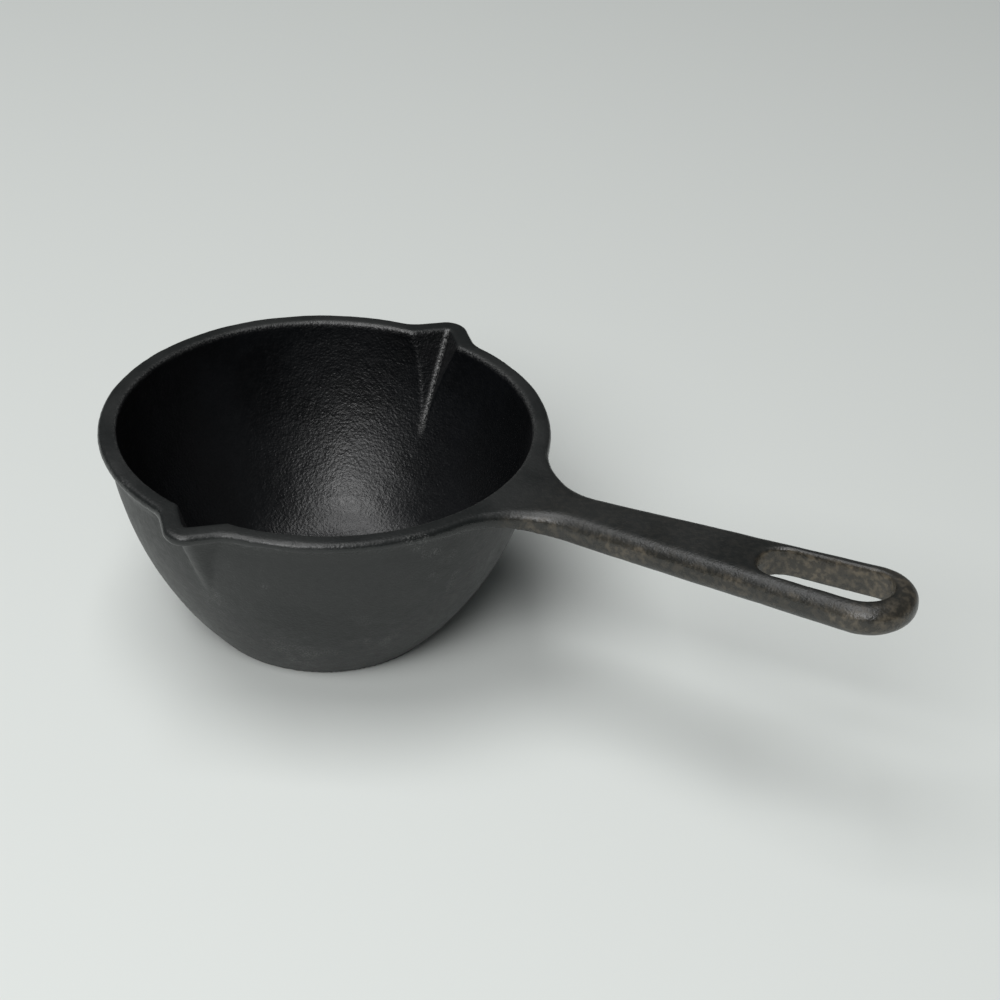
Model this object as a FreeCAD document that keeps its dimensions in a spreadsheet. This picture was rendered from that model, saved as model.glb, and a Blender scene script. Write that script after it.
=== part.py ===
import FreeCAD
import Part
import Sketcher
import math
import os

# Pouring ladle, cast in one piece.
#
# Frame: origin at the centre of the flat base, +Z up along the bowl's axis,
# +X along the handle. The two pouring spouts point to +Y and -Y.
# Lengths are in millimetres and angles in degrees.
#
# How the pattern is put together:
#   rim_and_handle  plan outline and side profile crossed, edges rolled above and below
#   bowl_wall       turned outside of the bowl, with a ridge behind each spout
#   bar_root        the handle's bar, run on under the web into the bowl's wall
#   bowl_void       turned inside of the bowl, with a notch for each spout
#   slot_void       tapered hanging slot

SIZES = {
    # bowl
    "bowl_height": 63.0,
    "base_radius": 33.8,
    "base_rounding": 2.0,
    "shoulder_radius": 61.05,
    "wall_bow": 107.5,
    "wall": 3.4,
    "floor_thickness": 4.0,
    "floor_blend": 20.0,
    # rolled rim
    "rim_radius": 63.5,
    "rim_depth": 3.6,
    "rim_roll": 1.75,
    "lip_rounding": 1.3,
    # spouts
    "spout_reach": 64.6,
    "spout_flank": 45.0,
    "spout_drop": 31.0,
    "spout_wall": 3.2,
    "spout_blend": 10.0,
    "spout_rooting": 10.0,
    "valley_radius": 0.8,
    # web between rim and handle
    "web_blend": 25.0,
    "web_start": 52.0,
    "web_dip": 60.0,
    "web_run_out": 100.0,
    # handle
    "bar_start": 84.0,
    "bar_end": 164.4,
    "bar_thickness": 9.0,
    "bar_tilt": 4.5,
    "bend_x": 70.0,
    "bend_radius": 120.0,
    "root_half_width": 8.24,
    "end_half_width": 12.73,
    "top_roll": 4.3,
    "under_roll": 4.2,
    "core_half_width": 7.4,
    "core_rounding": 4.4,
    "core_inset": 0.2,
    # hanging slot
    "slot_inner_x": 140.6,
    "slot_inner_radius": 6.65,
    "slot_outer_x": 163.2,
    "slot_outer_radius": 7.4,
    "slot_rounding": 0.9,
}

NODE = "pouring_ladle"
OVERRUN = 20.0

document = FreeCAD.newDocument("PouringLadle")


class Values:
    """The sizes by name, for working out where a sketch's points start."""

    def __init__(self, sizes):
        self.__dict__.update(sizes)


size = Values(SIZES)


def write_sheet():
    """Put every size in the spreadsheet, one row each, with its name as the alias."""
    sheet = document.addObject("Spreadsheet::Sheet", "Sizes")
    for row, (name, value) in enumerate(SIZES.items(), start=1):
        sheet.set("A%d" % row, name)
        sheet.set("B%d" % row, str(value))
        sheet.setAlias("B%d" % row, name)
    document.recompute()


def point(x, y):
    """A point in a sketch's own plane."""
    return FreeCAD.Vector(x, y, 0)


def direction(degrees):
    """The unit vector at an angle in a sketch's own plane."""
    angle = math.radians(degrees)
    return point(math.cos(angle), math.sin(angle))


def toward(centre, other, radius):
    """The point at a radius from a centre, on the way to another point."""
    return centre + (other - centre).normalize() * radius


class Outline:
    """A sketch whose edges are laid down in order and joined end to end.

    Each edge is kept as (geometry index, first point, last point), because an arc that
    is run through clockwise starts at its last point.
    """

    def __init__(self, body, name, role, lift=None, turn=None):
        self.sketch = body.newObject("Sketcher::SketchObject", name)
        plane = [item for item in body.Origin.OriginFeatures if item.Role == role][0]
        self.sketch.AttachmentSupport = [(plane, "")]
        self.sketch.MapMode = "FlatFace"
        for axis, expression in (lift or {}).items():
            self.sketch.setExpression("AttachmentOffset.Base." + axis, expression)
        if turn:
            self.sketch.setExpression("AttachmentOffset.Rotation.Angle", turn)
            self.sketch.setExpression("AttachmentOffset.Rotation.Axis.x", "1")
            self.sketch.setExpression("AttachmentOffset.Rotation.Axis.z", "0")
        document.recompute()
        self.edges = []

    def line(self, start, end):
        """Add a straight edge and give its index."""
        index = self.sketch.addGeometry(Part.LineSegment(start, end), False)
        self.edges.append((index, 1, 2))
        return index

    def arc(self, centre, start, end, clockwise=False):
        """Add an arc about a centre and give its index."""
        first, last = (end, start) if clockwise else (start, end)
        radius = (first - centre).Length
        angles = [math.atan2(p.y - centre.y, p.x - centre.x) for p in (first, last)]
        if angles[1] <= angles[0]:
            angles[1] += 2 * math.pi
        circle = Part.Circle(centre, FreeCAD.Vector(0, 0, 1), radius)
        index = self.sketch.addGeometry(Part.ArcOfCircle(circle, angles[0], angles[1]), False)
        self.edges.append((index, 2, 1) if clockwise else (index, 1, 2))
        return index

    def guide(self, place):
        """Add a construction point that lines can be held to."""
        return self.sketch.addGeometry(Part.Point(place), True)

    def join(self, sharp=()):
        """Join each edge to the next, tangent unless the joint is named as sharp."""
        for place, edge in enumerate(self.edges):
            following = self.edges[(place + 1) % len(self.edges)]
            kind = "Coincident" if place in sharp else "Tangent"
            self.hold(kind, edge[0], edge[2], following[0], following[1])

    def hold(self, kind, *references):
        """Add a constraint with no size."""
        self.sketch.addConstraint(Sketcher.Constraint(kind, *references))

    def measure(self, name, kind, references, expression):
        """Add a dimension and bind it to the spreadsheet."""
        value = self.sketch.evalExpression(expression)
        value = getattr(value, "Value", value)
        if kind == "Angle":
            value = math.radians(value)
        constraint = Sketcher.Constraint(kind, *references, value)
        self.sketch.renameConstraint(self.sketch.addConstraint(constraint), name)
        self.sketch.setExpression("Constraints." + name, expression)

    def finish(self):
        """Solve the sketch, which must be neither over nor under constrained."""
        document.recompute()
        if self.sketch.solve() != 0 or not self.sketch.FullyConstrained:
            raise RuntimeError("sketch %s is not fully constrained" % self.sketch.Name)
        return self.sketch


def new_body(name):
    """An empty PartDesign body."""
    return document.addObject("PartDesign::Body", name)


def pad(body, name, sketch, length, reverse=False, both_ways=False):
    """Pad a sketch by a length from the spreadsheet."""
    feature = body.newObject("PartDesign::Pad", name)
    feature.Profile = sketch
    feature.Reversed = reverse
    feature.Midplane = both_ways
    feature.setExpression("Length", length)
    document.recompute()
    return feature


def revolve(body, name, sketch):
    """Turn a sketch once round its own vertical axis."""
    feature = body.newObject("PartDesign::Revolution", name)
    feature.Profile = sketch
    feature.ReferenceAxis = (sketch, ["V_Axis"])
    feature.Angle = 360.0
    document.recompute()
    return feature


def loft(body, name, sections):
    """Loft straight from one section to the next."""
    feature = body.newObject("PartDesign::AdditiveLoft", name)
    feature.Profile = sections[0]
    feature.Sections = sections[1:]
    feature.Ruled = True
    document.recompute()
    return feature


def mirror_across_handle(body, name, feature):
    """Repeat a feature on the other side of the handle's upright plane."""
    plane = [item for item in body.Origin.OriginFeatures if item.Role == "XZ_Plane"][0]
    mirrored = body.newObject("PartDesign::Mirrored", name)
    mirrored.Originals = [feature]
    mirrored.MirrorPlane = (plane, [""])
    body.Tip = mirrored
    document.recompute()
    return mirrored


# ---------------------------------------------------------------- plan of rim and handle

RIM_OVERHANG = "Sizes.rim_radius - Sizes.shoulder_radius"
SPOUT_LIP = "(Sizes.valley_radius + Sizes.spout_wall + %s)" % RIM_OVERHANG


def spout_lip():
    """The rim's outline keeps this far from the centre of the spout's valley."""
    return size.valley_radius + size.spout_wall + size.rim_radius - size.shoulder_radius


def bar_side():
    """A point on the bar's +Y side, its direction, and its outward normal.

    The side is tangent to the round end and passes through the root's half width.
    """
    run = size.bar_end - size.bar_start
    root = point(size.bar_start, size.root_half_width)
    span = math.hypot(run, size.root_half_width)
    lean = math.asin(size.end_half_width / span) - math.atan2(size.root_half_width, run)
    return root, direction(math.degrees(lean)), direction(90 + math.degrees(lean))


def web_centre():
    """The centre of the arc that blends the rim into the bar's +Y side."""
    root, along, outward = bar_side()
    offset = size.web_blend + root * outward
    reach = size.rim_radius + size.web_blend
    return outward * offset + along * math.sqrt(reach ** 2 - offset ** 2)


def spout_blend_centre():
    """The centre of the arc that blends the rim into the +Y spout's +X flank."""
    outward = direction(size.spout_flank)
    along = direction(size.spout_flank - 90)
    offset = spout_lip() + size.spout_blend + point(0, size.spout_reach) * outward
    reach = size.rim_radius + size.spout_blend
    return outward * offset - along * math.sqrt(reach ** 2 - offset ** 2)


def flip_x(place):
    return point(-place.x, place.y)


def flip_y(place):
    return point(place.x, -place.y)


def flip_both(place):
    return point(-place.x, -place.y)


def plan_sketch(body):
    """The outline seen from above: rim, both spouts, flared web, tapered bar, round end."""
    outline = Outline(body, "PlanSketch", "XY_Plane")
    axis = point(0, 0)
    web = web_centre()
    blend = spout_blend_centre()
    nose = point(0, size.spout_reach)
    end = point(size.bar_end, 0)
    outward = bar_side()[2]
    flank = direction(size.spout_flank)

    end_tangent = end + outward * size.end_half_width
    bar_tangent = web - outward * size.web_blend
    web_tangent = toward(axis, web, size.rim_radius)
    rim_tangent = toward(axis, blend, size.rim_radius)
    flank_foot = blend - flank * size.spout_blend
    flank_top = nose + flank * spout_lip()

    sides = [outline.line(end_tangent, bar_tangent)]
    webs = [outline.arc(web, bar_tangent, web_tangent, clockwise=True)]
    rims = [outline.arc(axis, web_tangent, rim_tangent)]
    blends = [outline.arc(blend, rim_tangent, flank_foot, clockwise=True)]
    flanks = [outline.line(flank_foot, flank_top)]
    noses = [outline.arc(nose, flank_top, flip_x(flank_top))]
    flanks.append(outline.line(flip_x(flank_top), flip_x(flank_foot)))
    blends.append(outline.arc(flip_x(blend), flip_x(flank_foot), flip_x(rim_tangent), clockwise=True))
    rims.append(outline.arc(axis, flip_x(rim_tangent), flip_both(rim_tangent)))
    blends.append(outline.arc(flip_both(blend), flip_both(rim_tangent), flip_both(flank_foot), clockwise=True))
    flanks.append(outline.line(flip_both(flank_foot), flip_both(flank_top)))
    noses.append(outline.arc(flip_y(nose), flip_both(flank_top), flip_y(flank_top)))
    flanks.append(outline.line(flip_y(flank_top), flip_y(flank_foot)))
    blends.append(outline.arc(flip_y(blend), flip_y(flank_foot), flip_y(rim_tangent), clockwise=True))
    rims.append(outline.arc(axis, flip_y(rim_tangent), flip_y(web_tangent)))
    webs.append(outline.arc(flip_y(web), flip_y(web_tangent), flip_y(bar_tangent), clockwise=True))
    sides.append(outline.line(flip_y(bar_tangent), flip_y(end_tangent)))
    round_end = outline.arc(end, flip_y(end_tangent), end_tangent)
    outline.join()

    for number, rim in enumerate(rims):
        outline.hold("Coincident", rim, 3, -1, 1)
        if number:
            outline.hold("Equal", rim, rims[0])
    for group in (webs, blends, noses):
        for arc in group[1:]:
            outline.hold("Equal", arc, group[0])
    outline.measure("rim_radius", "Radius", (rims[0],), "Sizes.rim_radius")
    outline.measure("web_blend", "Radius", (webs[0],), "Sizes.web_blend")
    outline.measure("spout_blend", "Radius", (blends[0],), "Sizes.spout_blend")
    outline.measure("spout_lip", "Radius", (noses[0],), SPOUT_LIP)
    outline.hold("PointOnObject", noses[0], 3, -2)
    outline.measure("spout_reach", "DistanceY", (-1, 1, noses[0], 3), "Sizes.spout_reach")
    outline.hold("Symmetric", noses[0], 3, noses[1], 3, -1)
    turns = ("90 + Sizes.spout_flank", "270 - Sizes.spout_flank",
             "Sizes.spout_flank - 90", "90 - Sizes.spout_flank")
    for number, (line, turn) in enumerate(zip(flanks, turns)):
        outline.measure("flank_%d" % number, "Angle", (line,), "(%s) * 1 deg" % turn)
    outline.hold("PointOnObject", round_end, 3, -1)
    outline.measure("bar_end", "DistanceX", (-1, 1, round_end, 3), "Sizes.bar_end")
    outline.measure("end_half_width", "Radius", (round_end,), "Sizes.end_half_width")
    for number, (line, sign) in enumerate(zip(sides, (1, -1))):
        root = outline.guide(point(size.bar_start, sign * size.root_half_width))
        outline.measure("root_x_%d" % number, "DistanceX", (-1, 1, root, 1), "Sizes.bar_start")
        outline.measure("root_y_%d" % number, "DistanceY", (-1, 1, root, 1),
                        "%d * Sizes.root_half_width" % sign)
        outline.hold("PointOnObject", root, 1, line)
    return outline.finish()


# ---------------------------------------------------------------- side of rim and handle

def corner(before, at, after, radius):
    """The centre and tangent points of an arc that rounds a corner."""
    back = (before - at).normalize()
    on = (after - at).normalize()
    half = back.getAngle(on) / 2
    run = radius / math.tan(half)
    centre = at + (back + on).normalize() * (radius / math.sin(half))
    return centre, at + back * run, at + on * run


def side_sketch(body):
    """The outline seen from the side: level rim, bent-up bar, web thickening below."""
    outline = Outline(body, "SideSketch", "XZ_Plane")
    near = -size.rim_radius - OVERRUN
    far = size.bar_end + size.end_half_width + OVERRUN
    slope = math.tan(math.radians(size.bar_tilt))
    drop = size.bar_thickness / math.cos(math.radians(size.bar_tilt))
    top = size.bowl_height
    under = top - size.rim_depth

    def bar_top(x):
        return top + (x - size.bend_x) * slope

    bend = point(size.bend_x, top)
    dip = point(size.web_start, under)
    heel = point(size.bar_start, bar_top(size.bar_start) - drop)
    corners = {
        "near_top": point(near, top),
        "far_top": point(far, bar_top(far)),
        "far_under": point(far, bar_top(far) - drop),
        "near_under": point(near, under),
    }
    bend_arc = corner(corners["near_top"], bend, corners["far_top"], size.bend_radius)
    dip_arc = corner(corners["near_under"], dip, heel, size.web_dip)
    heel_arc = corner(dip, heel, corners["far_under"], size.web_run_out)

    under_rim = outline.line(corners["near_under"], dip_arc[1])
    dip_edge = outline.arc(dip_arc[0], dip_arc[1], dip_arc[2], clockwise=True)
    under_web = outline.line(dip_arc[2], heel_arc[1])
    heel_edge = outline.arc(heel_arc[0], heel_arc[1], heel_arc[2])
    under_bar = outline.line(heel_arc[2], corners["far_under"])
    far_end = outline.line(corners["far_under"], corners["far_top"])
    top_bar = outline.line(corners["far_top"], bend_arc[2])
    bend_edge = outline.arc(bend_arc[0], bend_arc[2], bend_arc[1], clockwise=True)
    top_rim = outline.line(bend_arc[1], corners["near_top"])
    near_end = outline.line(corners["near_top"], corners["near_under"])
    outline.join(sharp=(4, 5, 8, 9))

    for level in (under_rim, top_rim):
        outline.hold("Horizontal", level)
    for upright in (far_end, near_end):
        outline.hold("Vertical", upright)
    outline.hold("Parallel", top_bar, under_bar)
    outline.measure("near_x", "DistanceX", (near_end, 1, -1, 1), "Sizes.rim_radius + %g" % OVERRUN)
    outline.measure("far_x", "DistanceX", (-1, 1, far_end, 1),
                    "Sizes.bar_end + Sizes.end_half_width + %g" % OVERRUN)
    outline.measure("bend_radius", "Radius", (bend_edge,), "Sizes.bend_radius")
    outline.measure("web_dip", "Radius", (dip_edge,), "Sizes.web_dip")
    outline.measure("web_run_out", "Radius", (heel_edge,), "Sizes.web_run_out")
    outline.measure("bar_tilt", "Angle", (top_bar,), "(180 + Sizes.bar_tilt) * 1 deg")

    bend_guide = outline.guide(bend)
    outline.measure("bend_x", "DistanceX", (-1, 1, bend_guide, 1), "Sizes.bend_x")
    outline.measure("bend_z", "DistanceY", (-1, 1, bend_guide, 1), "Sizes.bowl_height")
    outline.hold("PointOnObject", bend_guide, 1, top_rim)
    outline.hold("PointOnObject", bend_guide, 1, top_bar)
    dip_guide = outline.guide(dip)
    outline.measure("dip_x", "DistanceX", (-1, 1, dip_guide, 1), "Sizes.web_start")
    outline.measure("dip_z", "DistanceY", (dip_guide, 1, bend_guide, 1), "Sizes.rim_depth")
    outline.hold("PointOnObject", dip_guide, 1, under_rim)
    outline.hold("PointOnObject", dip_guide, 1, under_web)
    heel_guide = outline.guide(heel)
    outline.measure("heel_x", "DistanceX", (-1, 1, heel_guide, 1), "Sizes.bar_start")
    outline.measure("bar_thickness", "Distance", (heel_guide, 1, top_bar), "Sizes.bar_thickness")
    outline.hold("PointOnObject", heel_guide, 1, under_web)
    outline.hold("PointOnObject", heel_guide, 1, under_bar)
    return outline.finish()


def middle_of(edge):
    """The point halfway along an edge."""
    return edge.valueAt((edge.FirstParameter + edge.LastParameter) / 2)


def normals_at(shape, edge):
    """The outward normals, at an edge's middle, of the faces that meet there."""
    middle = middle_of(edge)
    return [face.normalAt(*face.Surface.parameter(middle)) for face in shape.Faces
            if any(edge.isSame(other) for other in face.Edges)]


def is_brink(shape, edge, facing):
    """Whether an upright face meets an upper (facing 1) or lower (facing -1) one here."""
    tilts = [normal.z for normal in normals_at(shape, edge)]
    return any(abs(tilt) < 0.01 for tilt in tilts) and any(facing * tilt > 0.5 for tilt in tilts)


def roll_edges(name, blank, facing, bar_roll):
    """Round the outline's upper (facing 1) or lower (facing -1) edge.

    The rounding is the rim's along the rim, the bar's along the bar, and grows evenly
    from one to the other along the web.
    """
    web = web_centre()
    rim_x = toward(point(0, 0), web, size.rim_radius).x
    bar_x = (web - bar_side()[2] * size.web_blend).x

    def roll_at(place):
        share = min(max((place.x - rim_x) / (bar_x - rim_x), 0.0), 1.0)
        return size.rim_roll + (bar_roll - size.rim_roll) * share

    rolled = []
    for number, edge in enumerate(blank.Shape.Edges, start=1):
        if is_brink(blank.Shape, edge, facing):
            first = edge.valueAt(edge.FirstParameter)
            last = edge.valueAt(edge.LastParameter)
            rolled.append((number, roll_at(first), roll_at(last)))
    feature = document.addObject("Part::Fillet", name)
    feature.Base = blank
    feature.Edges = rolled
    document.recompute()
    return feature


def crossed(name, first, second):
    """What two shapes have in common."""
    feature = document.addObject("Part::Common", name)
    feature.Base = first
    feature.Tool = second
    document.recompute()
    return feature


def rim_and_handle():
    """The rolled rim, the web and the bar, as one plate with rounded edges."""
    plan = new_body("PlanBody")
    pad(plan, "PlanPad", plan_sketch(plan), "Sizes.bowl_height + 3 * Sizes.bar_thickness")
    side = new_body("SideBody")
    pad(side, "SidePad", side_sketch(side), "4 * Sizes.rim_radius", both_ways=True)
    blank = crossed("PlateBlank", plan, side)
    upper = roll_edges("RolledAbove", blank, 1, size.top_roll)
    under = roll_edges("RolledBelow", blank, -1, size.under_roll)
    return crossed("RimAndHandle", upper, under)


# ---------------------------------------------------------------- bowl

def bow_centre():
    """The centre, in the upright half plane, of the arc that bows the bowl's wall."""
    foot = point(size.base_radius, 0)
    shoulder = point(size.shoulder_radius, size.bowl_height - size.rim_depth)
    chord = shoulder - foot
    inward = point(-chord.y, chord.x).normalize()
    reach = math.sqrt(size.wall_bow ** 2 - (chord.Length / 2) ** 2)
    return (foot + shoulder) / 2 + inward * reach


def hold_bow(outline, arc):
    """Fix an arc as the bowl's outside, from the base's edge to the shoulder."""
    outline.hold("PointOnObject", arc, 1, -1)
    outline.measure("base_radius", "DistanceX", (-1, 1, arc, 1), "Sizes.base_radius")
    outline.measure("shoulder_radius", "DistanceX", (-1, 1, arc, 2), "Sizes.shoulder_radius")
    outline.measure("shoulder_height", "DistanceY", (-1, 1, arc, 2),
                    "Sizes.bowl_height - Sizes.rim_depth")
    outline.measure("wall_bow", "Radius", (arc,), "Sizes.wall_bow")


def wall_sketch(body):
    """Half of the bowl's solid outside: flat base, bowed wall, up into the rim."""
    outline = Outline(body, "WallSketch", "XZ_Plane")
    shoulder = size.bowl_height - size.rim_depth
    top = size.bowl_height - size.rim_depth / 2
    base = outline.line(point(0, 0), point(size.base_radius, 0))
    bow = outline.arc(bow_centre(), point(size.base_radius, 0), point(size.shoulder_radius, shoulder))
    neck = outline.line(point(size.shoulder_radius, shoulder), point(size.shoulder_radius, top))
    lid = outline.line(point(size.shoulder_radius, top), point(0, top))
    outline.line(point(0, top), point(0, 0))
    outline.join(sharp=range(5))
    hold_bow(outline, bow)
    outline.hold("Coincident", base, 1, -1, 1)
    outline.hold("Vertical", neck)
    outline.hold("Horizontal", lid)
    outline.hold("PointOnObject", lid, 2, -2)
    outline.measure("neck", "DistanceY", (neck, 1, neck, 2), "Sizes.rim_depth / 2")
    return outline.finish()


def void_sketch(body):
    """Half of the bowl's inside: level floor, rounded corner, wall of even thickness."""
    outline = Outline(body, "VoidSketch", "XZ_Plane")
    centre = bow_centre()
    inner = size.wall_bow - size.wall
    blend_z = size.floor_thickness + size.floor_blend
    blend_x = centre.x + math.sqrt((inner - size.floor_blend) ** 2 - (centre.y - blend_z) ** 2)
    blend = point(blend_x, blend_z)
    tangent = toward(centre, blend, inner)
    mouth = point(centre.x + math.sqrt(inner ** 2 - (size.bowl_height - centre.y) ** 2), size.bowl_height)
    top = size.bowl_height + OVERRUN

    floor = outline.line(point(0, size.floor_thickness), point(blend.x, size.floor_thickness))
    corner_arc = outline.arc(blend, point(blend.x, size.floor_thickness), tangent)
    wall = outline.arc(centre, tangent, mouth)
    neck = outline.line(mouth, point(mouth.x, top))
    lid = outline.line(point(mouth.x, top), point(0, top))
    outline.line(point(0, top), point(0, size.floor_thickness))
    outline.join(sharp=(2, 3, 4, 5))

    shoulder = point(size.shoulder_radius, size.bowl_height - size.rim_depth)
    outline.arc(centre, point(size.base_radius, 0), shoulder)
    outside = outline.edges.pop()[0]
    outline.sketch.toggleConstruction(outside)
    hold_bow(outline, outside)
    outline.hold("Coincident", wall, 3, outside, 3)
    outline.measure("inner_bow", "Radius", (wall,), "Sizes.wall_bow - Sizes.wall")
    outline.measure("floor_blend", "Radius", (corner_arc,), "Sizes.floor_blend")
    outline.measure("floor_thickness", "DistanceY", (-1, 1, floor, 1), "Sizes.floor_thickness")
    outline.measure("mouth_height", "DistanceY", (-1, 1, wall, 2), "Sizes.bowl_height")
    outline.measure("overrun", "DistanceY", (neck, 1, neck, 2), "%g" % OVERRUN)
    outline.hold("PointOnObject", floor, 1, -2)
    outline.hold("Horizontal", floor)
    outline.hold("Horizontal", lid)
    outline.hold("Vertical", neck)
    outline.hold("PointOnObject", lid, 2, -2)

    foot_z = size.bowl_height - size.spout_drop
    foot = outline.guide(point(centre.x + math.sqrt(inner ** 2 - (foot_z - centre.y) ** 2), foot_z))
    outline.hold("PointOnObject", foot, 1, wall)
    outline.measure("valley_foot_z", "DistanceY", (-1, 1, foot, 1),
                    "Sizes.bowl_height - Sizes.spout_drop")
    finished = outline.finish()
    reading = Sketcher.Constraint("DistanceX", -1, 1, foot, 1, 50.0)
    number = finished.addConstraint(reading)
    finished.setDriving(number, False)
    finished.renameConstraint(number, "valley_foot")
    document.recompute()
    return finished


VALLEY_FOOT = "VoidSketch.Constraints.valley_foot"


def spout_section(body, name, nose_radius, centre_y, height):
    """A rounded V across the spout, open towards the bowl, at one height."""
    outline = Outline(body, name, "XY_Plane", lift={"z": height})
    sketch = outline.sketch
    reach = sketch.evalExpression(centre_y)
    reach = getattr(reach, "Value", reach)
    radius = sketch.evalExpression(nose_radius)
    flank = direction(size.spout_flank)
    nose = point(0, reach)
    shoulder = nose + flank * radius
    back_y = reach - size.spout_rooting
    back = point((radius - (back_y - reach) * flank.y) / flank.x, back_y)
    right = outline.line(back, shoulder)
    round_nose = outline.arc(nose, shoulder, flip_x(shoulder))
    left = outline.line(flip_x(shoulder), flip_x(back))
    rear = outline.line(flip_x(back), back)
    outline.join(sharp=(2, 3))
    outline.hold("Horizontal", rear)
    outline.hold("PointOnObject", round_nose, 3, -2)
    outline.measure("nose_radius", "Radius", (round_nose,), nose_radius)
    outline.measure("centre_y", "DistanceY", (-1, 1, round_nose, 3), centre_y)
    outline.measure("rooting", "DistanceY", (right, 1, round_nose, 3), "Sizes.spout_rooting")
    outline.measure("right_flank", "Angle", (right,), "(90 + Sizes.spout_flank) * 1 deg")
    outline.measure("left_flank", "Angle", (left,), "(270 - Sizes.spout_flank) * 1 deg")
    return outline.finish()


def bowl_wall():
    """The bowl's solid outside, with the ridge that wraps each spout's notch."""
    body = new_body("WallBody")
    wall = revolve(body, "Wall", wall_sketch(body))
    rims = ["Edge%d" % number for number, edge in enumerate(wall.Shape.Edges, start=1)
            if edge.isClosed() and abs(edge.valueAt(edge.FirstParameter).z) < 0.001]
    rounding = body.newObject("PartDesign::Fillet", "BaseRounding")
    rounding.Base = (wall, rims)
    rounding.setExpression("Radius", "Sizes.base_rounding")
    document.recompute()
    nose = "Sizes.valley_radius + Sizes.spout_wall"
    ridge = loft(body, "SpoutRidge", [
        spout_section(body, "RidgeFoot", nose, VALLEY_FOOT + " - Sizes.valley_radius * 1 mm",
                      "Sizes.bowl_height - Sizes.spout_drop"),
        spout_section(body, "RidgeTop", nose, "Sizes.spout_reach", "Sizes.bowl_height"),
    ])
    mirror_across_handle(body, "SpoutRidges", ridge)
    return body


def bowl_void():
    """The space inside the bowl, with the notch that each spout pours through."""
    body = new_body("VoidBody")
    revolve(body, "Void", void_sketch(body))
    nose = "Sizes.valley_radius"
    notch = loft(body, "SpoutNotch", [
        spout_section(body, "NotchFoot", nose, VALLEY_FOOT + " - Sizes.valley_radius * 1 mm",
                      "Sizes.bowl_height - Sizes.spout_drop"),
        spout_section(body, "NotchMouth", nose, "Sizes.spout_reach", "Sizes.bowl_height"),
        spout_section(body, "NotchTop", nose, "Sizes.spout_reach", "Sizes.bowl_height + %g" % OVERRUN),
    ])
    mirror_across_handle(body, "SpoutNotches", notch)
    return body


# ---------------------------------------------------------------- handle details

def bar_root():
    """The bar's rounded lower half, run on under the web into the bowl's wall."""
    body = new_body("BarRootBody")
    height = "Sizes.bowl_height + (Sizes.bar_start - Sizes.bend_x) * tan(Sizes.bar_tilt * 1 deg)"
    outline = Outline(body, "BarRootSketch", "YZ_Plane",
                      lift={"y": height, "z": "Sizes.bar_start"}, turn="-Sizes.bar_tilt")
    half = size.core_half_width
    radius = size.core_rounding
    top = -size.top_roll
    bottom = size.core_inset - size.bar_thickness
    right = outline.line(point(half, bottom + radius), point(half, top))
    cap = outline.line(point(half, top), point(-half, top))
    left = outline.line(point(-half, top), point(-half, bottom + radius))
    near = outline.arc(point(radius - half, bottom + radius), point(-half, bottom + radius),
                       point(radius - half, bottom))
    base = outline.line(point(radius - half, bottom), point(half - radius, bottom))
    far = outline.arc(point(half - radius, bottom + radius), point(half - radius, bottom),
                      point(half, bottom + radius))
    outline.join(sharp=(0, 1))
    for upright in (right, left):
        outline.hold("Vertical", upright)
    outline.hold("Horizontal", base)
    outline.hold("Symmetric", cap, 1, cap, 2, -2)
    outline.hold("Equal", near, far)
    outline.measure("rounding", "Radius", (near,), "Sizes.core_rounding")
    outline.measure("half_width", "DistanceX", (-1, 1, cap, 1), "Sizes.core_half_width")
    outline.measure("cap", "DistanceY", (cap, 1, -1, 1), "Sizes.top_roll")
    outline.measure("depth", "DistanceY", (base, 1, -1, 1), "Sizes.bar_thickness - Sizes.core_inset")
    pad(body, "BarRoot", outline.finish(), "Sizes.bar_start - Sizes.web_start", reverse=True)
    return body


def slot_void():
    """The tapered hanging slot: two round ends joined by straight sides."""
    body = new_body("SlotBody")
    outline = Outline(body, "SlotSketch", "XY_Plane", lift={"z": "Sizes.bowl_height / 2"})
    inner = point(size.slot_inner_x, 0)
    outer = point(size.slot_outer_x, 0)
    growth = size.slot_outer_radius - size.slot_inner_radius
    lean = math.degrees(math.asin(growth / (size.slot_outer_x - size.slot_inner_x)))
    outward = direction(90 + lean)
    inner_side = inner + outward * size.slot_inner_radius
    outer_side = outer + outward * size.slot_outer_radius
    outline.line(outer_side, inner_side)
    inner_end = outline.arc(inner, inner_side, flip_y(inner_side))
    outline.line(flip_y(inner_side), flip_y(outer_side))
    outer_end = outline.arc(outer, flip_y(outer_side), outer_side)
    outline.join()
    for name, end in (("inner", inner_end), ("outer", outer_end)):
        outline.hold("PointOnObject", end, 3, -1)
        outline.measure(name + "_x", "DistanceX", (-1, 1, end, 3), "Sizes.slot_%s_x" % name)
        outline.measure(name + "_radius", "Radius", (end,), "Sizes.slot_%s_radius" % name)
    pad(body, "Slot", outline.finish(), "Sizes.bowl_height")
    return body


# ---------------------------------------------------------------- the casting

def fused(name, shapes):
    """Several shapes as one."""
    feature = document.addObject("Part::MultiFuse", name)
    feature.Shapes = shapes
    feature.Refine = True
    document.recompute()
    return feature


def is_lip(shape, edge):
    """Whether an edge runs round the mouth, level with the rim's top."""
    ends = [vertex.Point for vertex in edge.Vertexes]
    if any(abs(place.z - size.bowl_height) > 0.001 for place in ends + [middle_of(edge)]):
        return False
    middle = middle_of(edge)
    return any(normal.z < 0.9 and normal.x * middle.x + normal.y * middle.y < 0
               for normal in normals_at(shape, edge))


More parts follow.
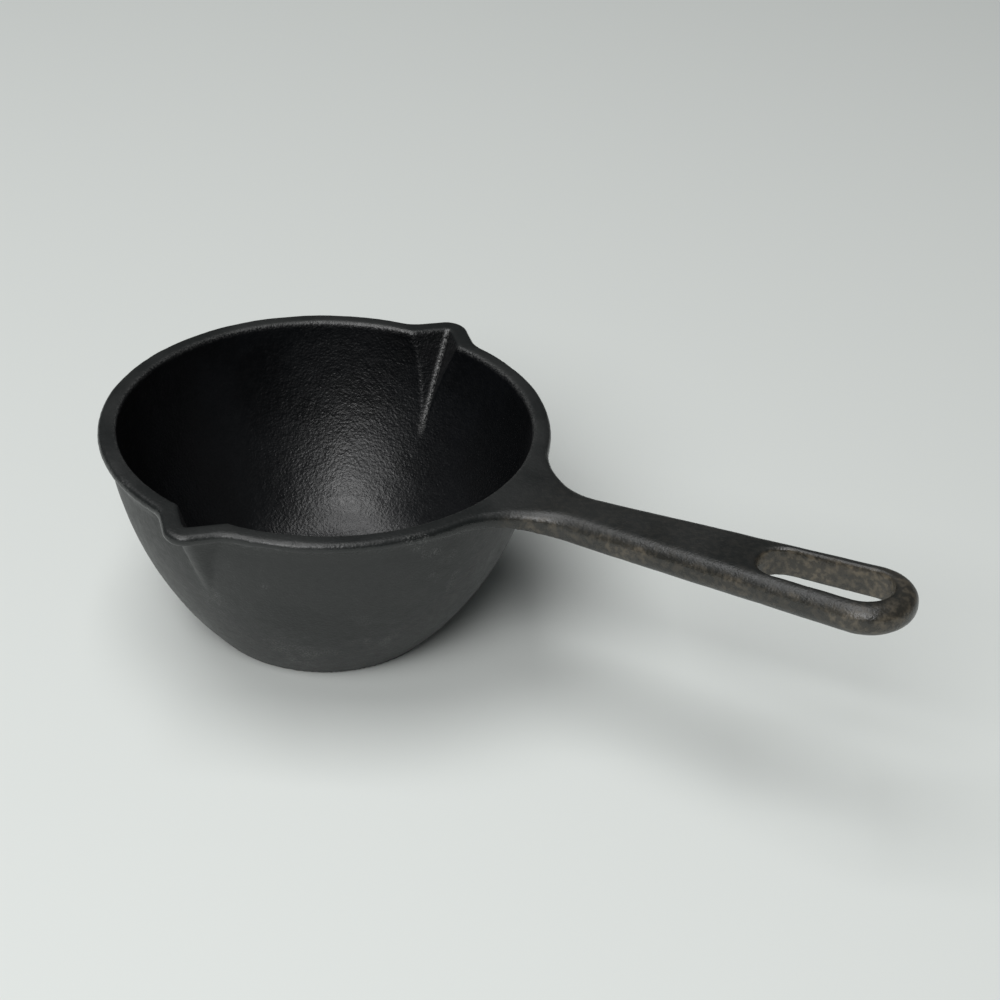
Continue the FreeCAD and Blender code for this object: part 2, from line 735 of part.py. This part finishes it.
def is_slot_brink(shape, edge):
    """Whether an edge runs round the top or the bottom of the hanging slot."""
    middle = middle_of(edge)
    inside = size.slot_inner_x - size.slot_inner_radius, size.slot_outer_x + size.slot_outer_radius
    if not inside[0] - 0.1 < middle.x < inside[1] + 0.1 or abs(middle.y) > size.slot_outer_radius + 0.1:
        return False
    return is_brink(shape, edge, 1) or is_brink(shape, edge, -1)


def softened(sharp):
    """Round the mouth's inner lip and both edges of the hanging slot."""
    shape = sharp.Shape
    rounded = []
    for number, edge in enumerate(shape.Edges, start=1):
        if is_lip(shape, edge):
            rounded.append((number, size.lip_rounding, size.lip_rounding))
        elif is_slot_brink(shape, edge):
            rounded.append((number, size.slot_rounding, size.slot_rounding))
    feature = document.addObject("Part::Fillet", "Softened")
    feature.Base = sharp
    feature.Edges = rounded
    document.recompute()
    return feature


def casting():
    """The whole ladle as one solid."""
    void = fused("Voids", [bowl_void(), slot_void()])
    solid = fused("Metal", [rim_and_handle(), bowl_wall(), bar_root()])
    cut = document.addObject("Part::Cut", "SharpCasting")
    cut.Base = solid
    cut.Tool = void
    cut.Refine = True
    document.recompute()
    return softened(cut)


def check(feature):
    """Stop if any object failed or the casting isn't one valid solid."""
    for item in document.Objects:
        if any(state in ("Invalid", "Error") for state in item.State):
            raise RuntimeError("%s failed: %s" % (item.Name, item.State))
    shape = feature.Shape
    if shape.isNull() or not shape.isValid() or len(shape.Solids) != 1:
        raise RuntimeError("%s is not one valid solid" % feature.Label)


def main():
    """Build the ladle and write its STEP file."""
    os.makedirs("parts", exist_ok=True)
    write_sheet()
    ladle = casting()
    ladle.Label = NODE
    check(ladle)
    ladle.Shape.exportStep("parts/%s.step" % NODE)
    print(NODE, "volume %.0f mm3" % ladle.Shape.Volume, "faces", len(ladle.Shape.Faces))


main()
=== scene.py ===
"""Looks of a small cast iron pouring ladle: its skin, its finish, the studio and the camera."""

from __future__ import annotations

import logging
import math
from dataclasses import dataclass, field
from enum import Enum

import bpy
import numpy as np
from mathutils import Matrix, Vector

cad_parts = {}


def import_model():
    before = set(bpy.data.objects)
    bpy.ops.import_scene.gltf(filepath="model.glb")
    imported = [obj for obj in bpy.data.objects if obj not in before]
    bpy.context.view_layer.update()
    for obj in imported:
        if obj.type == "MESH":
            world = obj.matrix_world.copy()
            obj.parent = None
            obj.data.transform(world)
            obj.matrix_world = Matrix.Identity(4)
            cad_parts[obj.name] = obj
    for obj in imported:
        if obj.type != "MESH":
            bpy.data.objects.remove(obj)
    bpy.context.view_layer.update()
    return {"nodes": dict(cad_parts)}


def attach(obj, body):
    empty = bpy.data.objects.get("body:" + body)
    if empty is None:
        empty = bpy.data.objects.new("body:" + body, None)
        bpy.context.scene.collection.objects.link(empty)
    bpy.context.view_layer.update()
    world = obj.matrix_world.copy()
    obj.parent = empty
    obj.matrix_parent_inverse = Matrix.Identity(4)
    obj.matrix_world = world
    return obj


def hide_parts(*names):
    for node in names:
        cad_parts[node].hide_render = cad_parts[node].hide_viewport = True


log = logging.getLogger("ladle")

MM = 0.001

# A spot of the noise node is about this share of one unit of its scaled coordinates.
NOISE_SPOT = 0.5


# ---------------------------------------------------------------------------
# Whole-array helpers
# ---------------------------------------------------------------------------


def smoothstep(low: float, high: float, value: np.ndarray) -> np.ndarray:
    """Ease from 0 at low to 1 at high: t squared times (3 - 2 t).

    Args:
        low: Value that gives 0.
        high: Value that gives 1. It may be the smaller of the two.
        value: Numbers to ease.

    Returns:
        The eased numbers, between 0 and 1.
    """
    t = np.clip((value - low) / (high - low), 0.0, 1.0)
    return t * t * (3.0 - 2.0 * t)


def lattice_values(cells: np.ndarray, seed: int) -> np.ndarray:
    """Give each whole-number cell a fixed value between -1 and 1 by mixing its bits.

    Args:
        cells: Cell indices, three to a row.
        seed: Chooses one field of values out of many.

    Returns:
        One value for each row.
    """
    index = cells.astype(np.int64).astype(np.uint64)
    mixed = index[:, 0] * np.uint64(0x9E3779B97F4A7C15)
    mixed = mixed + index[:, 1] * np.uint64(0xC2B2AE3D27D4EB4F)
    mixed = mixed + index[:, 2] * np.uint64(0x165667B19E3779F9) + np.uint64(seed * 7919 + 17)
    mixed ^= mixed >> np.uint64(31)
    mixed *= np.uint64(0xBF58476D1CE4E5B9)
    mixed ^= mixed >> np.uint64(29)
    return (mixed >> np.uint64(11)).astype(np.float64) / float(1 << 52) - 1.0


def soft_noise(points: np.ndarray, grain: float, seed: int) -> np.ndarray:
    """Smooth noise: the values at the eight corners of a point's cell, blended by smoothstep.

    Args:
        points: Places in metres, three to a row.
        grain: Width of a cell in metres.
        seed: Chooses the field.

    Returns:
        One value between -1 and 1 for each point.
    """
    scaled = points / grain
    cell = np.floor(scaled)
    share = smoothstep(0.0, 1.0, scaled - cell)
    total = np.zeros(len(points))
    for corner in np.ndindex(2, 2, 2):
        weight = np.prod(np.where(np.array(corner), share, 1.0 - share), axis=1)
        total += weight * lattice_values(cell + np.array(corner), seed)
    return total


@dataclass(frozen=True)
class Layer:
    """One layer of smooth noise."""

    strength: float
    grain: float
    seed: int

    def at(self, points: np.ndarray) -> np.ndarray:
        """The layer's values.

        Args:
            points: Places in metres, three to a row.

        Returns:
            One value for each point, between minus and plus the strength.
        """
        return self.strength * soft_noise(points, self.grain, self.seed)


def linked(name: str, data: bpy.types.ID) -> bpy.types.Object:
    """Put a mesh, a light or a camera into the scene.

    Args:
        name: The object's name.
        data: What it shows.

    Returns:
        The new object, at the origin.
    """
    item = bpy.data.objects.new(name, data)
    bpy.context.scene.collection.objects.link(item)
    return item


# ---------------------------------------------------------------------------
# Shader maths
# ---------------------------------------------------------------------------


class Wire:
    """A socket in a material, with operators that add Math nodes."""

    def __init__(self, graph: Graph, socket: bpy.types.NodeSocket) -> None:
        """Wrap an output socket.

        Args:
            graph: The material's nodes.
            socket: The output to build on.
        """
        self.graph = graph
        self.socket = socket

    def math(self, operation: str, *values: Wire | float, clamp: bool = False) -> Wire:
        """Apply one Math operation to this value and others.

        Args:
            operation: Name of the operation.
            values: What follows this value as operands.
            clamp: Whether the result stays between 0 and 1.

        Returns:
            The result.
        """
        inputs = {0: self, **{place: value for place, value in enumerate(values, start=1)}}
        settings = {"operation": operation, "use_clamp": clamp}
        return self.graph.add("ShaderNodeMath", settings, inputs)

    def __add__(self, other: Wire | float) -> Wire:
        """Sum."""
        return self.math("ADD", other)

    def __sub__(self, other: Wire | float) -> Wire:
        """Difference."""
        return self.math("SUBTRACT", other)

    def __mul__(self, other: Wire | float) -> Wire:
        """Product."""
        return self.math("MULTIPLY", other)

    def limited(self) -> Wire:
        """The value kept between 0 and 1."""
        return self.math("ADD", 0.0, clamp=True)

    def eased(self, low: float, high: float) -> Wire:
        """Ease from 0 at low to 1 at high.

        Args:
            low: Value that gives 0.
            high: Value that gives 1.

        Returns:
            The eased value.
        """
        settings = {"interpolation_type": "SMOOTHSTEP"}
        inputs = {0: self, 1: low, 2: high, 3: 0.0, 4: 1.0}
        return self.graph.add("ShaderNodeMapRange", settings, inputs)


class Graph:
    """The nodes of one material."""

    def __init__(self, name: str) -> None:
        """Start an empty material.

        Args:
            name: The material's name.
        """
        self.material = bpy.data.materials.new(name)
        self.material.use_nodes = True
        self.tree = self.material.node_tree
        self.tree.nodes.clear()

    def add(
        self,
        kind: str,
        settings: dict[str, object],
        inputs: dict[int | str, object],
        output: int | str = 0,
    ) -> Wire:
        """Add one node.

        Args:
            kind: Node type.
            settings: Properties of the node, set before its inputs.
            inputs: Values or wires for its sockets, by name or place.
            output: Name or place of the socket to give back.

        Returns:
            The chosen output.
        """
        node = self.tree.nodes.new(kind)
        for name, value in settings.items():
            setattr(node, name, value)
        for place, value in inputs.items():
            if isinstance(value, Wire):
                self.tree.links.new(value.socket, node.inputs[place])
            else:
                node.inputs[place].default_value = value
        return Wire(self, node.outputs[output])

    def blend(self, share: Wire | float, first: object, second: object) -> Wire:
        """Mix two colours.

        Args:
            share: How much of the second.
            first: Colour or wire.
            second: Colour or wire.

        Returns:
            The mixed colour.
        """
        inputs = {0: share, 6: first, 7: second}
        return self.add("ShaderNodeMix", {"data_type": "RGBA"}, inputs, 2)

    def attribute(self, name: str) -> Wire:
        """Read a number stored on the mesh.

        Args:
            name: The attribute's name.

        Returns:
            The number.
        """
        return self.add("ShaderNodeAttribute", {"attribute_name": name}, {}, "Fac")

    def noise(self, place: Wire, grain: float, detail: float, rough: float = 0.5) -> Wire:
        """Noise whose spots are about one grain wide.

        Args:
            place: Coordinates in metres.
            grain: Width of a spot in metres.
            detail: Number of finer layers.
            rough: Strength of each finer layer.

        Returns:
            A value around one half.
        """
        scale = NOISE_SPOT / grain
        inputs = {"Vector": place, "Scale": scale, "Detail": detail, "Roughness": rough}
        return self.add("ShaderNodeTexNoise", {}, inputs)

    def bump(self, height: Wire, depth: float, below: Wire | None = None) -> Wire:
        """Turn a height into a normal.

        Args:
            height: Height, where 1 stands one depth above 0.
            depth: Depth in metres.
            below: Normal that it adds to.

        Returns:
            The normal.
        """
        inputs: dict[int | str, object] = {"Strength": 1.0, "Distance": depth, "Height": height}
        if below is not None:
            inputs["Normal"] = below
        return self.add("ShaderNodeBump", {}, inputs, "Normal")

    def finish(self, surface: Wire) -> bpy.types.Material:
        """Lead a shader to the material's output.

        Args:
            surface: The shader.

        Returns:
            The material.
        """
        end = self.tree.nodes.new("ShaderNodeOutputMaterial")
        self.tree.links.new(surface.socket, end.inputs["Surface"])
        return self.material


# ---------------------------------------------------------------------------
# Finish
# ---------------------------------------------------------------------------


class Trace(Enum):
    """Numbers that the casting's mesh carries for its finish."""

    INSIDE = "inside"
    # Bare grey along the valley creases, partly painted glint, and a painted highlight on the
    # inner lip.
    BARE_AND_GLINT = "bare_and_glint"
    HANDLE = "handle"
    RUST = "rust"
    SCUFF = "scuff"
    EDGE = "rolled_edge"


Colour = tuple[float, float, float, float]


@dataclass(frozen=True)
class SeasonedIron:
    """Sand cast iron under a baked black oil skin.

    Grains and depths are in metres. A band gives the two noise values between which a mark
    fades in.
    """

    name: str = "seasoned_cast_iron"
    outside: Colour = (0.0085, 0.0098, 0.0097, 1.0)
    outside_light: Colour = (0.0150, 0.0163, 0.0160, 1.0)
    # The inside colours are far darker than the outside colours: painted shade for the bowl's
    # hollow.
    inside: Colour = (0.0006, 0.0009, 0.0014, 1.0)
    shaded_inside_patch: Colour = (0.0013, 0.0018, 0.0026, 1.0)
    brown: Colour = (0.125, 0.105, 0.076, 1.0)
    # Bare iron grey for scratches and bare valley creases. It also paints the glint in the
    # creases and the highlight on the inner lip.
    bare_and_glint: Colour = (0.26, 0.26, 0.255, 1.0)
    cloud_grain: float = 12 * MM
    grit_grain: float = 0.9 * MM
    sand_grain: float = 0.30 * MM
    pebble_grain: float = 0.42 * MM
    speck_grain: float = 0.22 * MM
    patch_band: tuple[float, float] = (0.40, 0.62)
    stain_band: tuple[float, float] = (0.42, 0.66)
    stain_least: float = 0.3
    worn_and_glint_band: tuple[float, float] = (0.42, 0.60)
    scratch_band: tuple[float, float] = (0.50, 0.64)
    scratch_share: float = 0.30
    outside_rough: float = 0.46
    inside_rough: float = 0.38
    cloud_rough: float = 0.20
    grit_rough: float = 0.22
    handle_rough: float = 0.04
    stain_rough: float = 0.06
    edge_rough: float = 0.15
    cloud_depth: float = 0.30 * MM
    sand_depth: float = 0.085 * MM
    pebble_depth: float = 0.15 * MM
    pebble_outside: float = 0.5
    pebble_more_inside: float = 0.6

    def material(self) -> bpy.types.Material:
        """Build the material.

        Returns:
            The finished material.
        """
        g = Graph(self.name)
        place = g.add("ShaderNodeTexCoord", {}, {}, "Object")
        mark = {trace: g.attribute(trace.value) for trace in Trace}
        inside = mark[Trace.INSIDE]
        cloud = g.noise(place, self.cloud_grain, 3.0)
        grit = g.noise(place, self.grit_grain, 3.0, 0.6)
        sand = g.noise(place, self.sand_grain, 2.0, 0.6)
        pebble = g.noise(place, self.pebble_grain, 2.0)
        speck = g.noise(place, self.speck_grain, 1.0)

        patch = cloud.eased(*self.patch_band)
        skin = g.blend(patch, self.outside, self.outside_light)
        # The inside of the bowl gets the darker colour, which is painted shade.
        shaded_inside = g.blend(patch, self.inside, self.shaded_inside_patch)
        colour = g.blend(inside, skin, shaded_inside)
        speckle = grit.eased(*self.stain_band) * (1.0 - self.stain_least) + self.stain_least
        stain = (mark[Trace.RUST] * speckle).limited()
        colour = g.blend(stain, colour, self.brown)
        # Painted glint along the valley creases over bare iron, and a painted highlight on the
        # inner lip.
        worn_and_glint = (mark[Trace.BARE_AND_GLINT] * speck.eased(*self.worn_and_glint_band)).limited()
        colour = g.blend(worn_and_glint, colour, self.bare_and_glint)
        scratch = mark[Trace.SCUFF] * speck.eased(*self.scratch_band) * self.scratch_share
        colour = g.blend(scratch, colour, self.bare_and_glint)

        rough = inside * (self.inside_rough - self.outside_rough) + self.outside_rough
        rough = rough + (cloud - 0.5) * self.cloud_rough + (grit - 0.5) * self.grit_rough
        rough = rough - mark[Trace.HANDLE] * self.handle_rough
        rough = rough + stain * self.stain_rough - mark[Trace.EDGE] * self.edge_rough

        coarse = g.bump(cloud, self.cloud_depth)
        fine = g.bump(sand, self.sand_depth, coarse)
        pebbles = pebble * (inside * self.pebble_more_inside + self.pebble_outside)
        relief = g.bump(pebbles, self.pebble_depth, fine)
        inputs = {"Base Color": colour, "Roughness": rough.limited(), "Normal": relief}
        return g.finish(g.add("ShaderNodeBsdfPrincipled", {}, inputs))


@dataclass(frozen=True)
class PaleBoard:
    """The plain matt board that the ladle stands on."""

    name: str = "pale_board"
    tint: Colour = (0.700, 0.728, 0.708, 1.0)
    rough: float = 0.85
    shine: float = 0.2

    def material(self) -> bpy.types.Material:
        """Build the material.

        Returns:
            The finished material.
        """
        g = Graph(self.name)
        inputs = {
            "Base Color": self.tint,
            "Roughness": self.rough,
            "Specular IOR Level": self.shine,
        }
        return g.finish(g.add("ShaderNodeBsdfPrincipled", {}, inputs))


# ---------------------------------------------------------------------------
# The casting
# ---------------------------------------------------------------------------


@dataclass(frozen=True)
class Wear:
    """Where and how strongly the skin is worn, stained and scratched, and where glints are
    painted along the valley creases and the inner lip, in metres and shares.
    """

    # The crease and lip marks below paint light: a bright line in each valley crease, partly bare
    # iron, and a highlight on the inner lip.
    crease_width: float = 0.48 * MM
    crease_bare_and_glint: float = 0.65
    crease_fade: tuple[float, float] = (-1 * MM, 4 * MM)
    lip_out: float = 0.5 * MM
    lip_down: float = 0.45 * MM
    lip_width: float = 0.55 * MM
    lip_glint: float = 0.22
    steep_band: tuple[float, float] = (0.85, 0.35)
    patch_band: tuple[float, float] = (-0.25, 0.45)
    patches: tuple[Layer, Layer] = (Layer(1.0, 7 * MM, 11), Layer(0.6, 2.6 * MM, 12))
    end_fade: tuple[float, float] = (158 * MM, 170 * MM)
    end_share: float = 0.6
    slot_margin: tuple[float, float] = (0.4 * MM, 0.5 * MM)
    slot_rust: tuple[float, float] = (0.6, 0.4)
    handle_rust: float = 0.06
    side_rust: tuple[float, float] = (0.22, 0.45)
    wall_band: tuple[float, float] = (0.2, 0.6)
    roll_fade: tuple[float, float] = (8 * MM, 6 * MM)
    streak: Layer = Layer(1.0, 9 * MM, 21)
    streak_stretch: tuple[float, float, float] = (1.0, 1.0, 0.55)
    streak_detail: Layer = Layer(0.7, 3 * MM, 22)
    streak_band: tuple[float, float] = (0.35, 1.2)


@dataclass(frozen=True)
class SandMould:
    """Unevenness that the sand leaves in the iron, in millimetres of depth."""

    waves: tuple[Layer, Layer] = (Layer(0.060, 10 * MM, 1), Layer(0.040, 4.5 * MM, 2))
    calmer_inside: float = 0.5
    grains: Layer = Layer(0.028, 2.4 * MM, 3)
    inside_grains: Layer = Layer(0.030, 1.8 * MM, 4)
    middle: float = 0.158
    foot_fade: tuple[float, float] = (0.05 * MM, 1.0 * MM)

    def depth(self, place: np.ndarray, inside: np.ndarray) -> np.ndarray:
        """How far each vertex goes in. The foot that meets the ground stays flat.

        The middle depth is the sum of all the layers' strengths, so nothing stands out.

        Args:
            place: Vertices, in metres.
            inside: How far each is inside the bowl.

        Returns:
            One depth for each vertex, in metres.
        """
        waves = sum(layer.at(place) for layer in self.waves) * (1.0 - self.calmer_inside * inside)
        grains = self.grains.at(place) + inside * self.inside_grains.at(place)
        return (self.middle + waves + grains) * MM * smoothstep(*self.foot_fade, place[:, 2])


@dataclass
class Casting:
    """The one iron casting: bowl, spouts, web, handle and hanging slot."""

    node: str = "pouring_ladle"
    slot: str = "cast_iron"
    body: str = "root"
    finish: SeasonedIron = field(default_factory=SeasonedIron)
    wear: Wear = field(default_factory=Wear)
    mould: SandMould = field(default_factory=SandMould)
    mesh_step: float = 0.95 * MM
    weld_gap: float = 0.002 * MM
    blur: float = 0.5 * MM
    bowl_height: float = 63.0 * MM
    bow_axis: tuple[float, float] = (-45.66 * MM, 72.40 * MM)
    bow: float = 107.5 * MM
    wall: float = 3.4 * MM
    floor_middle: float = 2.0 * MM
    mouth_radius: float = 57.8 * MM
    lip_fade: tuple[float, float] = (0.05 * MM, 0.7 * MM)
    inside_end: float = 66 * MM
    valley_top: tuple[float, float] = (65.3 * MM, 62.7 * MM)
    valley_slope: float = 0.46
    valley_foot: float = 32.0 * MM
    spout_wall: float = 3.2 * MM
    spout_wall_share: float = 0.7
    spout_start: float = 0.8
    spout_half_width: float = 9 * MM
    web_start: float = 60.0 * MM
    bar_start: float = 78.0 * MM
    slot_middle: float = 152.3 * MM
    slot_half_length: float = 18.3 * MM
    slot_half_width: float = 7.5 * MM

    def even_skin(self, source: bpy.types.Object) -> bpy.types.Mesh:
        """Cover the casting with small even faces that lie on its surface.

        Args:
            source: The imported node.

        Returns:
            A closed mesh with the same form.
        """
        core = linked("core", source.data.copy())
        shell = linked("shell", core.data)
        for item in (core, shell):
            item.modifiers.new("weld", "WELD").merge_threshold = self.weld_gap
        even = shell.modifiers.new("even", "REMESH")
        even.mode = "VOXEL"
        even.voxel_size = self.mesh_step
        hug = shell.modifiers.new("hug", "SHRINKWRAP")
        hug.target = core
        hug.wrap_method = "NEAREST_SURFACEPOINT"
        graph = bpy.context.evaluated_depsgraph_get()
        mesh = bpy.data.meshes.new_from_object(shell.evaluated_get(graph))
        bpy.data.objects.remove(shell)
        bpy.data.objects.remove(core)
        return mesh

    def spout_share(self, place: np.ndarray) -> np.ndarray:
        """How far each vertex lies within a spout's V.

        The V's flanks keep the sum of |x| and |y| below the valley's reach at that height.

        Args:
            place: Vertices, in metres.

        Returns:
            A share for each vertex.
        """
        x, y, z = place.T
        reach = self.valley_top[0] - (self.valley_top[1] - z) * self.valley_slope
        beyond = np.abs(x) + np.abs(y) - reach - self.spout_wall * self.spout_wall_share
        within = smoothstep(self.blur, -self.blur, beyond)
        far_enough = np.abs(y) > self.mouth_radius * self.spout_start
        return within * far_enough * (np.abs(x) < self.spout_half_width)

    def below_lip(self, z: np.ndarray) -> np.ndarray:
        """Tell the bowl's inside from the rim's flat top.

        Args:
            z: Heights, in metres.

        Returns:
            A share for each height: 0 at the top and 1 below the lip.
        """
        high, low = self.lip_fade
        return smoothstep(self.bowl_height - high, self.bowl_height - low, z)

    def inside_share(self, place: np.ndarray) -> np.ndarray:
        """How far each vertex is inside the bowl.

        A point is inside where it lies nearer the axis than the middle of the wall, or within
        a spout's V.

        Args:
            place: Vertices, in metres.

        Returns:
            A share for each vertex.
        """
        x, y, z = place.T
        rise = np.clip(z, 0.0, self.bowl_height) - self.bow_axis[1]
        wall_middle = self.bow_axis[0] + np.sqrt((self.bow - self.wall / 2) ** 2 - rise**2)
        within_wall = smoothstep(self.blur, -self.blur, np.hypot(x, y) - wall_middle)
        above_floor = smoothstep(self.floor_middle - self.blur, self.floor_middle + self.blur, z)
        within = np.maximum(within_wall, self.spout_share(place))
        return within * above_floor * self.below_lip(z) * (x < self.inside_end)

    def bare_and_glint_share(self, place: np.ndarray) -> np.ndarray:
        """Bare metal with a painted glint along the crease of each valley, and a faint painted
        highlight along the inner lip.

        Args:
            place: Vertices, in metres.

        Returns:
            A share for each vertex.
        """
        x, y, z = place.T
        wear = self.wear
        start, full = wear.crease_fade
        along = smoothstep(self.valley_foot + start, self.valley_foot + full, z)
        # The crease line is bare iron lightened as a painted glint. The lip term below is a
        # painted highlight.
        crease = wear.crease_bare_and_glint * np.exp(-((x / wear.crease_width) ** 2))
        crease = crease * self.spout_share(place) * along * self.below_lip(z)
        out = np.hypot(x, y) - self.mouth_radius - wear.lip_out
        lip = np.hypot(out, z - self.bowl_height + wear.lip_down)
        return np.clip(crease + wear.lip_glint * np.exp(-((lip / wear.lip_width) ** 2)), 0.0, 1.0)

    def rust_share(self, place: np.ndarray, handle: np.ndarray, steep: np.ndarray) -> np.ndarray:
        """Brown stain: most in the hanging slot, then on the handle's sides and round end.

        Args:
            place: Vertices, in metres.
            handle: How far each is on the handle.
            steep: How far each stands upright.

        Returns:
            A share for each vertex.
        """
        x, y, _ = place.T
        wear = self.wear
        patches = smoothstep(*wear.patch_band, sum(layer.at(place) for layer in wear.patches))
        round_end = wear.end_share * smoothstep(*wear.end_fade, x)
        past_length = np.abs(x - self.slot_middle) - self.slot_half_length
        past_width = np.abs(y) - self.slot_half_width
        in_slot = (past_length < wear.slot_margin[0]) * (past_width < wear.slot_margin[1]) * steep
        slot_rust = in_slot * (wear.slot_rust[0] + wear.slot_rust[1] * patches)
        sides = np.maximum(steep, round_end) * (wear.side_rust[0] + wear.side_rust[1] * patches)
        return np.maximum(slot_rust, handle * (wear.handle_rust + sides))

    def traces(self, place: np.ndarray, normal: np.ndarray) -> dict[Trace, np.ndarray]:
        """Work out where the skin is inside, bare along the valley creases with a painted glint,
        painted with a highlight on the inner lip, rusty, scratched or rubbed smooth.

        Args:
            place: Vertices, in metres.
            normal: Their normals.

        Returns:
            One number for each vertex and trace.
        """
        x, _, z = place.T
        wear = self.wear
        inside = self.inside_share(place)
        handle = smoothstep(self.web_start, self.bar_start, x)
        steep = smoothstep(*wear.steep_band, np.abs(normal[:, 2]))
        upright = smoothstep(*wear.wall_band, np.hypot(normal[:, 0], normal[:, 1]))
        low, high = wear.roll_fade
        near_rim = smoothstep(self.bowl_height - low, self.bowl_height - high, z)
        rolled = near_rim * (1.0 - inside) * steep
        streaks = wear.streak.at(place * np.array(wear.streak_stretch))
        streaks = streaks + wear.streak_detail.at(place)
        outside = (1.0 - inside) * (1.0 - handle) * upright
        return {
            Trace.INSIDE: inside,
            Trace.BARE_AND_GLINT: self.bare_and_glint_share(place),
            Trace.HANDLE: handle,
            Trace.RUST: self.rust_share(place, handle, steep),
            Trace.SCUFF: outside * smoothstep(*wear.streak_band, streaks),
            Trace.EDGE: np.maximum(rolled, handle * steep),
        }

    def build(self, source: bpy.types.Object) -> bpy.types.Object:
        """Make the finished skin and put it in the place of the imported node.

        Args:
            source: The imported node.

        Returns:
            The finished piece.
        """
        mesh = self.even_skin(source)
        count = len(mesh.vertices)
        place = np.empty(count * 3)
        normal = np.empty(count * 3, np.float32)
        mesh.vertices.foreach_get("co", place)
        mesh.vertex_normals.foreach_get("vector", normal)
        place = place.reshape(-1, 3)
        normal = normal.reshape(-1, 3).astype(float)
        marks = self.traces(place, normal)
        moved = place - normal * self.mould.depth(place, marks[Trace.INSIDE])[:, None]
        mesh.vertices.foreach_set("co", moved.ravel())
        for trace, values in marks.items():
            layer = mesh.attributes.new(trace.value, "FLOAT", "POINT")
            layer.data.foreach_set("value", values.astype(np.float32))
        mesh.polygons.foreach_set("use_smooth", np.ones(len(mesh.polygons), bool))
        mesh.materials.clear()
        mesh.materials.append(self.finish.material())
        mesh.update()
        piece = linked("ladle_casting", mesh)
        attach(piece, self.body)
        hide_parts(self.node)
        log.info("%s: %d vertices, %d faces", piece.name, count, len(mesh.polygons))
        return piece


# ---------------------------------------------------------------------------
# Studio and camera
# ---------------------------------------------------------------------------


@dataclass
class Studio:
    """A pale floor, a soft lamp in front, a dimmer one overhead and a faint even room light."""

    floor_half: float = 3.0
    window_from: tuple[float, float, float] = (0.26, -1.22, 1.20)
    window_side: float = 0.9
    window_watts: float = 21.0
    ceiling_from: tuple[float, float, float] = (-0.38, -0.22, 1.85)
    ceiling_side: float = 1.2
    ceiling_watts: float = 20.0
    room: Colour = (0.93, 0.98, 1.0, 1.0)
    room_level: float = 0.05
    board: PaleBoard = field(default_factory=PaleBoard)

    def soft_lamp(
        self, name: str, spot: tuple[float, float, float], side: float, watts: float
    ) -> None:
        """Hang one square lamp that faces the ladle.

        Args:
            name: The lamp's name.
            spot: Its place, in metres.
            side: Its side, in metres.
            watts: Its power.
        """
        lamp = bpy.data.lights.new(name, "AREA")
        lamp.shape = "SQUARE"
        lamp.size = side
        lamp.energy = watts
        holder = linked(name, lamp)
        holder.location = spot
        holder.rotation_euler = (-Vector(spot)).to_track_quat("-Z", "Y").to_euler()

    def build(self) -> None:
        """Make the floor, the lamps and the room's light."""
        half = self.floor_half
        mesh = bpy.data.meshes.new("floor")
        corners = [(-half, -half, 0.0), (half, -half, 0.0), (half, half, 0.0), (-half, half, 0.0)]
        mesh.from_pydata(corners, [], [(0, 1, 2, 3)])
        mesh.materials.append(self.board.material())
        floor = linked("floor", mesh)
        self.soft_lamp("window_lamp", self.window_from, self.window_side, self.window_watts)
        self.soft_lamp("ceiling_lamp", self.ceiling_from, self.ceiling_side, self.ceiling_watts)
        world = bpy.data.worlds.new("room")
        world.use_nodes = True
        sky = world.node_tree.nodes["Background"]
        sky.inputs["Color"].default_value = self.room
        sky.inputs["Strength"].default_value = self.room_level
        bpy.context.scene.world = world
        bpy.context.scene.view_settings.view_transform = "Standard"


@dataclass(frozen=True)
class Viewpoint:
    """A camera given by its angles, in radians, and by where the middle of its view falls."""

    bearing: float = 0.50965
    height: float = 0.56648
    lean: float = 0.048251
    distance: float = 0.706265
    shift_right: float = 0.051395
    shift_up: float = 0.030700
    lens: float = 86.4
    sensor: float = 36.0

    def build(self) -> None:
        """Place the camera and make it the scene's own."""
        turn, lift = self.bearing, self.height
        out = math.cos(lift)
        back = Vector((math.sin(turn) * out, -math.cos(turn) * out, math.sin(lift)))
        level = Vector((math.cos(turn), math.sin(turn), 0.0))
        upright = back.cross(level)
        right = level * math.cos(self.lean) + upright * math.sin(self.lean)
        up = upright * math.cos(self.lean) - level * math.sin(self.lean)
        lens = bpy.data.cameras.new("camera")
        lens.lens = self.lens
        lens.sensor_width = self.sensor
        camera = linked("camera", lens)
        spot = back * self.distance + right * self.shift_right + up * self.shift_up
        facing = Matrix((right, up, back)).transposed().to_4x4()
        camera.matrix_world = Matrix.Translation(spot) @ facing
        bpy.context.scene.camera = camera


def main() -> None:
    """Build everything in order."""
    logging.basicConfig(level=logging.INFO, format="%(name)s: %(message)s")
    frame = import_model()
    casting = Casting()
    casting.build(frame["nodes"][casting.node])
    Studio().build()
    Viewpoint().build()


if __name__ == "__main__":
    main()
